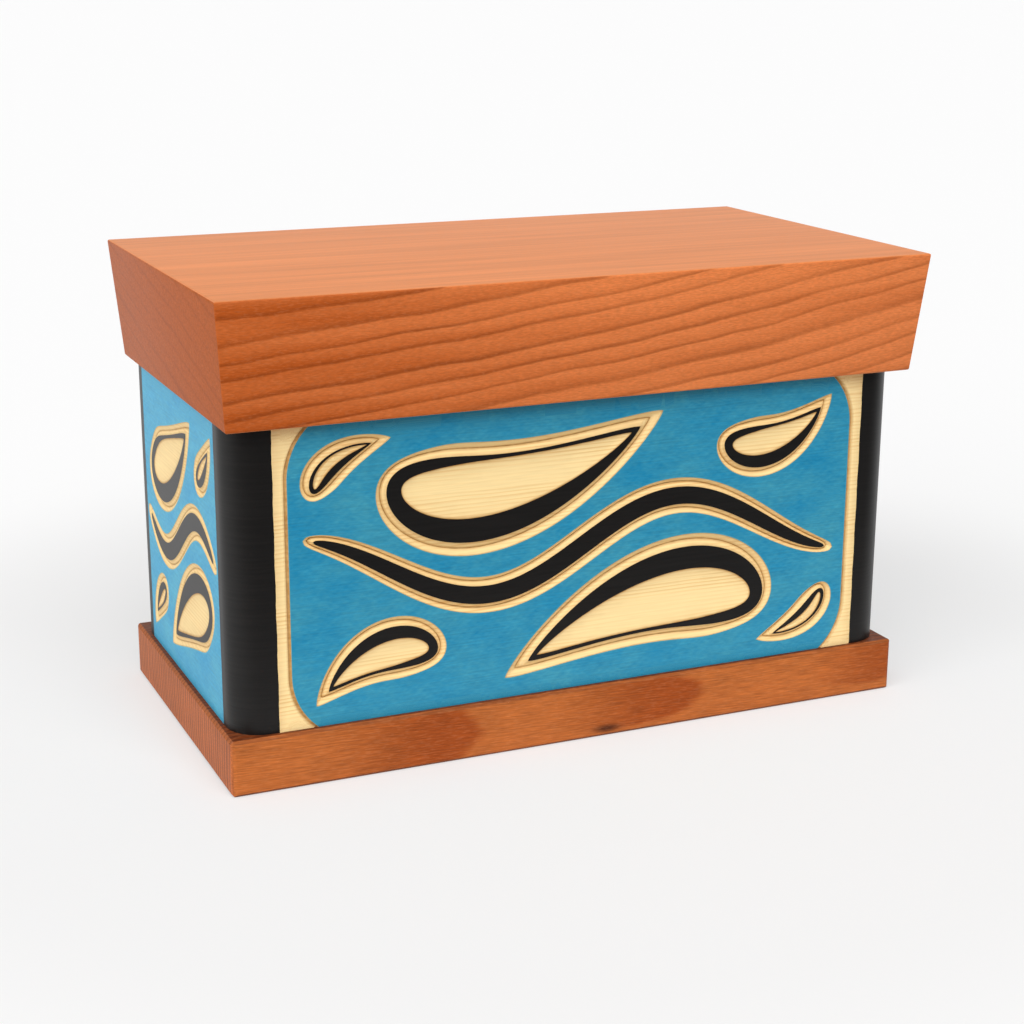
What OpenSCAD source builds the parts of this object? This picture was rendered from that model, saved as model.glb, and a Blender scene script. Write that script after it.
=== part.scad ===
// Kerf-bent cedar box. One plank is kerfed and bent round three corners and lapped and pegged at the
// fourth. It stands on a ledge of the base board, round a raised floor, and is pegged from below.
// A thick lid with flared sides rests on the rim and plugs into it, and lifts straight off.
// The frame's origin is the middle of the base board's underside. The front faces -Y.

/* [Bent sides] */
// Outside width of the bent sides
wall_w = 295; // [220:1:360]
// Outside depth of the bent sides
wall_d = 147; // [110:1:200]
// Height of the side plank, from the ledge to the rim
wall_h = 122; // [90:1:180]
// Thickness of the side plank
wall_t = 12; // [10:0.5:15]
// Outside radius of the bent corners
bend_r = 14; // [11:0.5:17]

/* [Carving] */
// Depth of the carved channels on the front and the back
channel_d = 2; // [0.5:0.1:2.2]
// Depth of the carved channels on the two ends
end_channel_d = 1; // [0.4:0.1:2.2]
// Width of the channel in the edge of a large leaf
channel_w = 5.4; // [3:0.2:6.4]
// Width of the channel round the stem and in the edges of the other leaves
fine_channel_w = 4; // [2:0.2:5]
// Width of the winding stem
stem_w = 8; // [5:0.5:10]
// Width of the two large leaves on the front and on the back
large_leaf_w = 46; // [30:1:50]
// Width of the two middling leaves on the front and on the back
middle_leaf_w = 26; // [18:1:30]
// Width of the two small leaves on the front and on the back
small_leaf_w = 16; // [12:1:20]
// Width of the two large leaves on an end
end_leaf_w = 36; // [24:1:42]
// Width of the two small leaves on an end
end_small_leaf_w = 17; // [12:1:22]
// Wood kept between a channel and a peg hole behind it
channel_skin = 0.6; // [0.3:0.1:1.5]

/* [Kerfs] */
// Wood left behind the root of a kerf, which is what bends
web_t = 4; // [3:0.25:5]
// Radius of the relief at the root of a kerf
kerf_root_r = 1.2; // [0.8:0.1:1.6]
// Width of a kerf once it is bent shut
kerf_gap = 0.4; // [0.2:0.1:0.8]

/* [Pegged corner] */
// Thickness of the tongue on the right side that laps the end of the back
lap_t = 6; // [4.5:0.25:8]
// Glue line between the faces of the lap
glue_gap = 0.15; // [0.1:0.05:0.3]
// Diameter of the pegs through the lap
corner_peg_d = 4.5; // [3:0.25:6]
// How far those pegs reach into the end of the back
corner_peg_bite = 24; // [15:1:26]
// Slope of those pegs, up and down by turns, which locks the lap
corner_peg_slope = 7; // [0:1:12]
// Number of pegs through the lap
corner_peg_count = 5; // [3:1:7]

/* [Base pegs] */
// Diameter of the pegs that hold the sides down on the base board
base_peg_d = 6; // [4:0.25:7]
// How far those pegs reach into the side plank
base_peg_bite = 20; // [12:1:40]
// Pegs under the front, and as many under the back
long_side_peg_count = 3; // [2:1:4]
// Pegs under the left end, and as many under the right end
short_side_peg_count = 2; // [1:1:3]

/* [Peg fits] */
// Clearance round a peg, on the radius
peg_fit = 0.05; // [0.02:0.01:0.1]
// Length of the whittled tip of a peg
peg_tip = 1.5; // [0.5:0.25:2.5]
// Room left past the tip of a peg in its blind hole
peg_end_room = 1; // [0.5:0.25:2]
// How far the base pegs are trimmed below the underside
peg_recess = 0.3; // [0.1:0.1:1]

/* [Base board] */
// Thickness of the base board at its ledge
base_h = 23; // [16:0.5:35]
// How far the base board stands out past the sides
base_overhang = 3; // [1:0.5:12]
// Radius of the base board's upright corners
base_corner_r = 2.5; // [1:0.25:6]
// Width of the eased edges of the base board
base_ease = 1.2; // [0.3:0.1:2]
// Height of the raised floor inside the sides
floor_h = 8; // [4:0.5:15]
// Clearance between the raised floor and the sides
floor_gap = 0.3; // [0.1:0.1:1]

/* [Lid] */
// Thickness of the lid, from the rim to its top
lid_h = 50; // [30:1:70]
// How far the lid's lower edge stands out past the ends of the box
lid_overhang_x = 1.5; // [1:0.5:12]
// How far the lid's lower edge stands out past the front and the back
lid_overhang_y = 6; // [1:0.5:12]
// How far the ends of the lid lean out from its lower edge to its top
lid_flare_x = 4; // [0:0.1:15]
// How far the front and the back of the lid lean out from its lower edge to its top
lid_flare_y = 5.3; // [0:0.1:15]
// Width of the eased edges of the lid
lid_ease = 0.6; // [0.3:0.1:1.5]
// Depth of the plug under the lid
plug_h = 8; // [4:0.5:15]
// Clearance between the plug and the sides
plug_gap = 0.6; // [0.4:0.1:2]
// Width of the eased edges round the plug and the raised floor
plug_ease = 1; // [0.3:0.1:2]

/* [Hidden] */
$fn = 64;
// How far a cut runs past a face, and how far joined blocks run into each other
overrun = 1;

cavity_w = wall_w - 2 * wall_t;
cavity_d = wall_d - 2 * wall_t;
rim_z = base_h + wall_h;
base_w = wall_w + 2 * base_overhang;
base_d = wall_d + 2 * base_overhang;
lid_w = wall_w + 2 * lid_overhang_x;
lid_d = wall_d + 2 * lid_overhang_y;
// Distances from the centre of a bend, out along the corner's diagonal
kerf_mouth = sqrt(2) * (bend_r - wall_t);
kerf_root = bend_r - web_t - kerf_root_r;
// The corner with the lap is the back right one; the other three are bent
bent_corners = [[-1, -1], [1, -1], [-1, 1]];

// Middle height of the carved sides, and the deepest cut that keeps clear of the pegs in them
carving_z = base_h + wall_h / 2;
deepest_cut = (wall_t - base_peg_d) / 2 - peg_fit - channel_skin;
// How far a cutter for a channel stands out of the wood
cutter_rise = 0.5;
// The stem of a side: its reach, as a share of half the flat of the side, its swing, as a share of half the
// height, and the angle that it winds through each way
long_side_stem = [0.86, 0.26, 245];
short_side_stem = [0.84, 0.21, 167];
// The leaves of a side, each there again turned half round: the base, bow and tip of its spine, as shares of half
// the flat and half the height, then its width and that of its channel
long_side_leaves = [
    [[[-0.64, 0.64], [-0.36, 0.06], [0.26, 0.86]], large_leaf_w, channel_w],
    [[[0.46, 0.64], [0.66, 0.36], [0.86, 0.86]], middle_leaf_w, fine_channel_w],
    [[[-0.86, 0.50], [-0.84, 0.79], [-0.62, 0.86]], small_leaf_w, fine_channel_w]
];
short_side_leaves = [
    [[[-0.80, 0.38], [-0.34, 0.22], [0.36, 0.86]], end_leaf_w, fine_channel_w],
    [[[0.43, 0.50], [0.67, 0.55], [0.86, 0.87]], end_small_leaf_w, fine_channel_w]
];
// Where along its spine a leaf is widest, and the width of its outline there before it is scaled
leaf_belly = 0.5 / 1.3;
leaf_peak = sqrt(leaf_belly) * pow(1 - leaf_belly, 0.8);

cedar_red = "#c9713d";
cedar_brown = "#b9693a";
cedar_yellow = "#f3d39c";
peg_wood = "#d8b383";

// Middles of n equal stretches of a length that is centred on zero
function middles(n, length) = [for (i = [1:n]) (i - (n + 1) / 2) * length / n];

// Plan places of the base pegs, in the middle of the plank's thickness, by the side they are under
function side_places(side) =
    let (x = (wall_w - wall_t) / 2, y = (wall_d - wall_t) / 2)
    side == "front" ? [for (m = middles(long_side_peg_count, wall_w)) [m, -y]] :
    side == "back" ? [for (m = middles(long_side_peg_count, wall_w)) [m, y]] :
    side == "left" ? [for (m = middles(short_side_peg_count, wall_d)) [-x, m]] :
    [for (m = middles(short_side_peg_count, wall_d)) [x, m]];
sides = ["front", "back", "left", "right"];

// Heights at which the corner pegs cross the face of the lap
corner_peg_z = [for (m = middles(corner_peg_count, wall_h)) base_h + wall_h / 2 + m];

// Outline of a board's end: its sides lean out by flare, and its long edges are eased
function board_end(bottom, h, flare, ease) =
    let (
        half = bottom / 2,
        low = half + flare * ease / h,
        high = half + flare * (1 - ease / h),
        right = [[half - ease, 0], [low, ease], [high, h - ease], [half + flare - ease, h]]
    )
    concat(right, [for (i = [3:-1:0]) [-right[i].x, right[i].y]]);

// Length of the two legs of a leaf's spine
function spine_length(spine) = norm(spine[1] - spine[0]) + norm(spine[2] - spine[1]);

// A place on a leaf's edge, moved in: t runs from the base, 0, to the tip, 1, on the left side, 1, or the right, -1
function leaf_place(spine, half, inset, t, side) =
    let (
        total = spine_length(spine),
        s = inset / total + (1 - 2.7 * inset / total) * t,
        way = (1 - s) * (spine[1] - spine[0]) + s * (spine[2] - spine[1]),
        across = side * (half - inset) * sqrt(t) * pow(1 - t, 0.8) / leaf_peak
    )
    (1 - s) * (1 - s) * spine[0] + 2 * s * (1 - s) * spine[1] + s * s * spine[2]
    + across * [-way.y, way.x] / norm(way);

// Outline of a leaf, round at its base and pointed at its tip
function leaf_ring(spine, half, inset, n) =
    let (t = [for (i = [0:n]) (1 - cos(180 * i / n)) / 2])
    concat(
        [for (i = [0:n]) leaf_place(spine, half, inset, t[i], 1)],
        [for (i = [n - 1:-1:1]) leaf_place(spine, half, inset, t[i], -1)]
    );

// A place on the stem's edge, moved in: t runs from one end, -1, to the other, 1
function stem_place(reach, swing, wind, inset, t, side) =
    let (
        u = t * (reach - inset),
        turn = wind * u / reach,
        slope = swing * cos(turn) * wind / reach * PI / 180,
        across = side * (stem_w / 2 - inset) * pow(1 - t * t, 0.4)
    )
    [u, swing * sin(turn)] + across * [-slope, 1] / sqrt(1 + slope * slope);

// Outline of the stem, which tapers at both ends
function stem_ring(reach, swing, wind, inset, n) =
    let (t = [for (i = [0:n]) -cos(180 * i / n)])
    concat(
        [for (i = [0:n]) stem_place(reach, swing, wind, inset, t[i], 1)],
        [for (i = [n - 1:-1:1]) stem_place(reach, swing, wind, inset, t[i], -1)]
    );

function corner_peg_name(i) = str("corner_peg_", i);
function base_peg_name(side, i) = str("base_peg_", side, "_", i);

// Plan of a box with round corners
module round_plan(w, d, r) {
    square([w - 2 * r, d], center = true);
    square([w, d - 2 * r], center = true);
    for (sx = [-1, 1], sy = [-1, 1])
        translate([sx * (w / 2 - r), sy * (d / 2 - r)]) circle(r = r);
}

// Block with flared sides and eased edges, cut to shape from the front and from the end
module eased_block(w, d, h, ease, flare = [0, 0]) {
    reach = [w / 2 + flare.x + overrun, d / 2 + flare.y + overrun];
    intersection() {
        translate([0, reach.y, 0]) rotate([90, 0, 0])
            linear_extrude(2 * reach.y) polygon(board_end(w, h, flare.x, ease));
        translate([-reach.x, 0, 0]) rotate([90, 0, 90])
            linear_extrude(2 * reach.x) polygon(board_end(d, h, flare.y, ease));
    }
}

// Plan of a kerf bent shut, along the diagonal from the inner corner out to its root
module kerf_plan() {
    translate([kerf_root, 0]) circle(r = kerf_root_r);
    translate([kerf_mouth - overrun, -kerf_gap / 2])
        square([kerf_root - kerf_mouth + overrun, kerf_gap]);
}

// Plan of the glue line of the lap: across the end of the back, then along its inner face
module lap_plan() {
    translate([wall_w / 2 - lap_t - glue_gap, cavity_d / 2 - glue_gap])
        square([glue_gap, wall_t + glue_gap + overrun]);
    translate([cavity_w / 2 - overrun, cavity_d / 2 - glue_gap])
        square([wall_t - lap_t + overrun, glue_gap]);
}

// Plan of the bent plank: three kerfed corners, and its two ends lapped at the fourth
module plank_plan() {
    difference() {
        round_plan(wall_w, wall_d, bend_r);
        square([cavity_w, cavity_d], center = true);
        for (c = bent_corners)
            translate([c.x * (wall_w / 2 - bend_r), c.y * (wall_d / 2 - bend_r)])
                rotate(atan2(c.y, c.x)) kerf_plan();
        lap_plan();
    }
}

// A peg from below zero up to its bite, with a whittled tip
module peg(d, shank, bite) {
    translate([0, 0, -shank]) cylinder(d = d, h = shank + bite - peg_tip);
    translate([0, 0, bite - peg_tip]) cylinder(d1 = d, d2 = d / 2, h = peg_tip);
}

// The hole for that peg
module peg_hole(d, shank, bite) {
    translate([0, 0, -shank]) cylinder(d = d + 2 * peg_fit, h = shank + bite + peg_end_room);
}

// Places things along the i-th corner peg, from the face of the lap into the end of the back
module at_corner_peg(i) {
    slope = i % 2 == 0 ? -corner_peg_slope : corner_peg_slope;
    translate([wall_w / 2 - lap_t, (wall_d - wall_t) / 2, corner_peg_z[i - 1]])
        rotate([0, slope - 90, 0]) children();
}

// Places things up the i-th base peg of a side, from the ledge into the plank
module at_base_peg(side, i) {
    place = side_places(side)[i - 1];
    translate([place.x, place.y, base_h]) children();
}

module base_peg_holes() {
    for (side = sides, i = [1:len(side_places(side))])
        at_base_peg(side, i) peg_hole(base_peg_d, base_h + overrun, base_peg_bite);
}

// Cutter for a channel with sloping sides, from three outlines: outside, along its bottom and inside
module channel_cutter(rings, depth) {
    n = len(rings[0]);
    levels = [cutter_rise, -depth, cutter_rise];
    polyhedron(
        points = [for (r = [0:2], p = rings[r]) [p.x, p.y, levels[r]]],
        faces = [
            for (r = [0:2], i = [0:n - 1])
                let (a = r * n, b = (r + 1) % 3 * n, j = (i + 1) % n)
                each [[a + i, b + i, b + j], [a + i, b + j, a + j]]
        ]
    );
}

// Cutters for one flat side, which lies in XY with its outer face at zero: its stem and its leaves
module side_cutters(flat, stem, leaves, channel_depth) {
    half = [flat / 2, wall_h / 2];
    depth = min(channel_depth, deepest_cut);
    stem_over = cutter_rise * fine_channel_w / 2 / depth;
    channel_cutter([
        for (inset = [-fine_channel_w - stem_over, -fine_channel_w / 2, stem_over])
            stem_ring(stem[0] * half.x, stem[1] * half.y, stem[2], inset, round(stem[2] / 8))
    ], depth);
    for (leaf = leaves, s = [-1, 1]) {
        spine = [for (p = leaf[0]) [s * p.x * half.x, s * p.y * half.y]];
        over = cutter_rise * leaf[2] / 2 / depth;
        channel_cutter([
            for (inset = [-over, leaf[2] / 2, leaf[2] + over])
                leaf_ring(spine, leaf[1] / 2, inset, 4 + round(spine_length(spine) / 16))
        ], depth);
    }
}

// The channels on all four sides
module carving() {
    for (turn = [0, 180]) rotate(turn) translate([0, -wall_d / 2, carving_z]) rotate([90, 0, 0])
        side_cutters(wall_w - 2 * bend_r, long_side_stem, long_side_leaves, channel_d);
    for (turn = [90, 270]) rotate(turn) translate([0, -wall_w / 2, carving_z]) rotate([90, 0, 0])
        side_cutters(wall_d - 2 * bend_r, short_side_stem, short_side_leaves, end_channel_d);
}

module side_plank() {
    color(cedar_yellow) difference() {
        translate([0, 0, base_h]) linear_extrude(wall_h) plank_plan();
        carving();
        base_peg_holes();
        for (i = [1:corner_peg_count])
            at_corner_peg(i) peg_hole(corner_peg_d, lap_t + overrun, corner_peg_bite);
    }
}

module base_board() {
    color(cedar_brown) difference() {
        union() {
            intersection() {
                linear_extrude(base_h) round_plan(base_w, base_d, base_corner_r);
                eased_block(base_w, base_d, base_h, base_ease);
            }
            translate([0, 0, base_h - overrun])
                eased_block(
                    cavity_w - 2 * floor_gap, cavity_d - 2 * floor_gap, floor_h + overrun, plug_ease
                );
        }
        base_peg_holes();
    }
}

module lid() {
    color(cedar_red) translate([0, 0, rim_z]) {
        eased_block(lid_w, lid_d, lid_h, lid_ease, [lid_flare_x, lid_flare_y]);
        translate([0, 0, -plug_h])
            eased_block(
                cavity_w - 2 * plug_gap, cavity_d - 2 * plug_gap, plug_h + plug_ease + overrun, plug_ease
            );
    }
}

// Corner pegs are trimmed flush with the round of the corner
module corner_peg(i) {
    color(peg_wood) intersection() {
        at_corner_peg(i) peg(corner_peg_d, lap_t + overrun, corner_peg_bite);
        translate([0, 0, base_h]) linear_extrude(wall_h) round_plan(wall_w, wall_d, bend_r);
    }
}

module base_peg(side, i) {
    color(peg_wood) at_base_peg(side, i) peg(base_peg_d, base_h - peg_recess, base_peg_bite);
}

lid();
side_plank();
base_board();
for (i = [1:corner_peg_count])
    corner_peg(i);
for (side = sides, i = [1:len(side_places(side))])
    base_peg(side, i);
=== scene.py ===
import math

import bmesh
import bpy
import numpy as np
from bpy.props import FloatProperty, FloatVectorProperty, IntProperty, PointerProperty
from mathutils import Matrix, Vector
from mathutils.geometry import delaunay_2d_cdt
from mathutils.kdtree import KDTree


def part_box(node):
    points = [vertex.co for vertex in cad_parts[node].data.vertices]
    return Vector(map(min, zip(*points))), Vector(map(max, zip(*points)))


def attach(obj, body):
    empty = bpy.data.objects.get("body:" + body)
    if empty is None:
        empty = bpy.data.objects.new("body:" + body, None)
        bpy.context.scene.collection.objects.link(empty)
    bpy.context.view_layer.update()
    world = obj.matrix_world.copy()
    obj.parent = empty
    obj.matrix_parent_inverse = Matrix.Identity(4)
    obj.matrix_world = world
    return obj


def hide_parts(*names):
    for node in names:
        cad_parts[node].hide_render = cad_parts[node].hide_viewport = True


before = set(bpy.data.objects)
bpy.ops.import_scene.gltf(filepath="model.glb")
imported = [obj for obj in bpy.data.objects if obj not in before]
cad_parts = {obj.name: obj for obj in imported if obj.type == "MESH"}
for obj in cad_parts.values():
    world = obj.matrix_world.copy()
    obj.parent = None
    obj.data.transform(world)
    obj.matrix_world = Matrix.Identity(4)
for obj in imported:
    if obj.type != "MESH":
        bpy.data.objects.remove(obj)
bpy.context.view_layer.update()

bl_info = {
    "name": "Kerf-bent cedar box",
    "version": (1, 0, 0),
    "blender": (4, 5, 0),
    "location": "3D View > Sidebar > Bent box",
    "description": "Dresses the packed bentwood box: cedar lid and base, carved and painted plank, pegs",
    "category": "Object",
}

MM = 0.001
# Points of a CAD mesh that lie nearer than this are one
WELD = 1e-6

PLANK_LOW, PLANK_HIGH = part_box("side_plank")
PEG_LOW, PEG_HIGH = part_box("base_peg_front_1")
BASE_PEGS = sorted(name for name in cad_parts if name.startswith("base_peg_"))
CORNER_PEGS = sorted(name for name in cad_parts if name.startswith("corner_peg_"))
# The flat front ends where the rounds of its corners begin, and base pegs stand in mid thickness
FLAT_X = max(v.co.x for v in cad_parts["side_plank"].data.vertices if v.co.y < PLANK_LOW.y + WELD)
BEND_R = PLANK_HIGH.x - FLAT_X
WALL_T = PEG_LOW.y + PEG_HIGH.y - 2 * PLANK_LOW.y


def hex_colour(text):
    """An sRGB hex colour as linear red, green, blue and alpha."""
    parts = [int(text[i:i + 2], 16) / 255 for i in (1, 3, 5)]
    return tuple(c / 12.92 if c <= 0.04045 else ((c + 0.055) / 1.055) ** 2.4 for c in parts) + (1.0,)


def colour(name, default, description):
    """A colour that a user may change."""
    return FloatVectorProperty(
        name=name, description=description, subtype="COLOR", size=4, min=0, max=1,
        default=hex_colour(default),
    )


def length(name, millimetres, description):
    """A length that a user may change."""
    return FloatProperty(
        name=name, description=description, subtype="DISTANCE", unit="LENGTH", min=0,
        default=millimetres * MM,
    )


class BentBoxSizes(bpy.types.PropertyGroup):
    """Sizes of the carving, the paint, the joints and the grain."""

    channel: length("Channel width", 5.4, "Width of the two-sided channel in the edge of a large leaf")
    fine_channel: length("Fine channel width", 4.0, "Width of the channel at the stem and the other leaves")
    channel_depth: length("Channel depth", 2.0, "Depth of the channels along their middles")
    dish: length("Dish", 0.6, "How far the bare fields are dished below the paint")
    end_margin: length("End margin", 4.0, "Bare wood between the painted ground and a black corner")
    end_round: length("End round", 30.0, "Radius of the painted ground's corners")
    corner_paint: length("Corner paint", 3.5, "How far the black of a corner runs on past its round")
    step: length("Step", 1.2, "Spacing of points along the carved outlines")
    fill: length("Fill", 3.4, "Spacing of points on the flats between them")
    lap: length("Lap", 6.0, "Thickness of the tongue at the lapped corner")
    glue_gap: length("Glue line", 0.15, "Gap along the lap")
    kerf_gap: length("Kerf gap", 0.4, "Gap left in a kerf that is bent shut")
    kerf_web: length("Kerf web", 4.0, "Wood left outside a kerf")
    kerf_root: length("Kerf root", 1.2, "Radius of the round at the end of a kerf")
    lid_ease: length("Lid ease", 0.5, "Rounding of the lid's edges")
    base_ease: length("Base ease", 0.8, "Rounding of the base board's edges")
    corner_peg: length("Corner peg", 4.5, "Diameter of the pegs through the lap")
    corner_bite: length("Corner peg bite", 24.0, "Length of a corner peg past the face of the lap")
    corner_slope: FloatProperty(
        name="Corner peg slope", description="Tilt of the corner pegs, up and down in turn",
        subtype="ANGLE", unit="ROTATION", default=math.radians(7),
    )
    peg_tip: length("Peg tip", 1.5, "Length of a peg's whittled tip")
    peg_sides: IntProperty(name="Peg sides", description="Knife cuts round a peg", default=16, min=6, max=48)
    lid_ring: length("Lid rings", 7.8, "Height between growth rings on the front of the lid")
    base_ring: length("Base rings", 3.2, "Depth between growth rings of the base board")
    plank_ring: length("Plank rings", 1.7, "Height between growth rings of the plank")


class BentBoxColours(bpy.types.PropertyGroup):
    """Colours of the woods, the paints and the floor."""

    cedar: colour("Red cedar", "#e88449", "Early wood of the lid")
    cedar_deep: colour("Red cedar, deep", "#b5541b", "Redder wood towards the end of a ring")
    cedar_line: colour("Red cedar, line", "#843a10", "Late wood that ends a ring")
    cedar_top: colour("Red cedar, top", "#d98752", "Wide face of the lid")
    cedar_end: colour("Red cedar, end", "#b0571f", "Cut ends of the lid")
    fleck: colour("Fleck", "#e8a272", "Short bright fibres of both cedars")
    brown: colour("Brown cedar", "#b5642e", "Early wood of the base board")
    brown_deep: colour("Brown cedar, deep", "#9a4717", "Dark tongues on the base board's face")
    brown_end: colour("Brown cedar, end", "#bb683a", "Cut ends of the base board")
    # The ledge's dark colour is painted shade at the foot of the wall, with the board's grain
    brown_ledge_painted_shade: colour("Brown cedar, ledge", "#703413", "Upper side of the base board")
    brown_line: colour("Brown cedar, line", "#4c200c", "Late wood of the base board")
    knot: colour("Knot", "#3a1c10", "Small knot in the base board")
    yellow: colour("Yellow cedar", "#ffe1a4", "Bare wood of the plank")
    yellow_line: colour("Yellow cedar, line", "#e6b068", "Late wood of the plank")
    # Amber stains bare wood along cuts and paint edges; at the bottom of a channel or cut it is painted
    # shade in the crease
    amber: colour("Amber", "#a56c22", "Oil and scorch along a cut")
    blue: colour("Blue paint", "#0086b2", "Painted ground")
    blue_thin: colour("Blue paint, thin", "#4ca4b2", "Ground where the brush left it thin")
    black: colour("Black paint", "#131110", "Corners and inner bands")
    peg: colour("Peg wood", "#c99a62", "Whittled pegs")
    # The paper near the box takes this grey, darker than further out: painted shade round the box
    floor: colour("Floor", "#ebebeb", "Seamless paper")


def sizes():
    return bpy.context.scene.bent_box_sizes


def colours():
    return bpy.context.scene.bent_box_colours


def put(tree, kind, inputs=(), out=0, **settings):
    """Adds a node with its settings, sets or links its inputs, and gives an output, or the node for None."""
    node = tree.nodes.new(kind)
    for name, value in settings.items():
        setattr(node, name, value)
    for key, value in inputs.items() if isinstance(inputs, dict) else enumerate(inputs):
        if isinstance(value, bpy.types.NodeSocket):
            tree.links.new(value, node.inputs[key])
        else:
            node.inputs[key].default_value = value
    return node if out is None else node.outputs[out]


MATH, RANGE, MIX = "ShaderNodeMath", "ShaderNodeMapRange", "ShaderNodeMix"
VECTOR, APART, NOISE = "ShaderNodeVectorMath", "ShaderNodeSeparateXYZ", "ShaderNodeTexNoise"
# Settings of these nodes that come again and again
ADD, SUB, TIMES = ({"operation": name} for name in ("ADD", "SUBTRACT", "MULTIPLY"))
SCALE_ADD, LARGER = ({"operation": name} for name in ("MULTIPLY_ADD", "MAXIMUM"))
EASED = {"interpolation_type": "SMOOTHSTEP"}
COLOURS = {"data_type": "RGBA", "out": 2}


def mottle(tree, way, size_mm, detail=2.0, shift=0.0):
    """A soft mottle, 0 to 1, whose spots have a real size along each axis."""
    scale = tuple(1 / (mm * MM) for mm in size_mm)
    spread = put(tree, "ShaderNodeMapping", {"Vector": way, "Location": (shift,) * 3, "Scale": scale})
    return put(tree, NOISE, {"Vector": spread, "Scale": 1.0, "Detail": detail})


def new_material(name):
    """An empty material and its tree."""
    material = bpy.data.materials.new(name)
    material.use_nodes = True
    material.node_tree.nodes.clear()
    return material, material.node_tree


def finish_shader(tree, tone, value, roughness, specular, height, relief_mm):
    """Ends a tree: a colour, shaded by a value, its roughness and shine, and relief of a real depth."""
    shaded = put(tree, "ShaderNodeHueSaturation", {"Value": value, "Color": tone})
    relief = put(tree, "ShaderNodeBump", {"Height": height, "Distance": relief_mm * MM})
    shader = put(tree, "ShaderNodeBsdfPrincipled", {
        "Base Color": shaded, "Roughness": roughness, "Specular IOR Level": specular, "Normal": relief,
    })
    put(tree, "ShaderNodeOutputMaterial", (shader,), out=None)


def growth_rings(tree, level, spacing, shift):
    """Growth rings across a level in metres: how far through its ring a place is, from 0 to 1."""
    ring = put(tree, MATH, (level, spacing), operation="DIVIDE")
    uneven = put(tree, NOISE, {"W": ring, "Scale": 0.43, "Detail": 1.0}, noise_dimensions="1D")
    ring = put(tree, MATH, (uneven, 1.0, ring), **SCALE_ADD)
    return put(tree, MATH, (put(tree, MATH, (ring, shift), **ADD),), operation="FRACT")


def late_line(tree, phase, start, stop):
    """The dark line that ends a ring: it comes up slowly and stops short."""
    rise = put(tree, RANGE, (phase, start, stop), **EASED)
    fall = put(tree, RANGE, (phase, stop, 1.0, 1.0, 0.0), **EASED)
    return put(tree, MATH, (rise, fall), **TIMES)


def facing(tree, axis):
    """Whether a face looks along an axis, either way, from 0 to 1 with a soft change at the edges."""
    normal = put(tree, "ShaderNodeNewGeometry", out="Normal")
    either = put(tree, MATH, (put(tree, APART, (normal,), out=axis),), operation="ABSOLUTE")
    return put(tree, RANGE, (either, 0.6, 0.9), **EASED)


# Waves in the lid's rings: their size along each axis and their height, in mm, and a shift
LID_WAVES = (((150, 60, 70), 8.0, 0.0), ((46, 30, 24), 4.2, 3.0), ((13, 9, 7), 0.8, 5.0))


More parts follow.
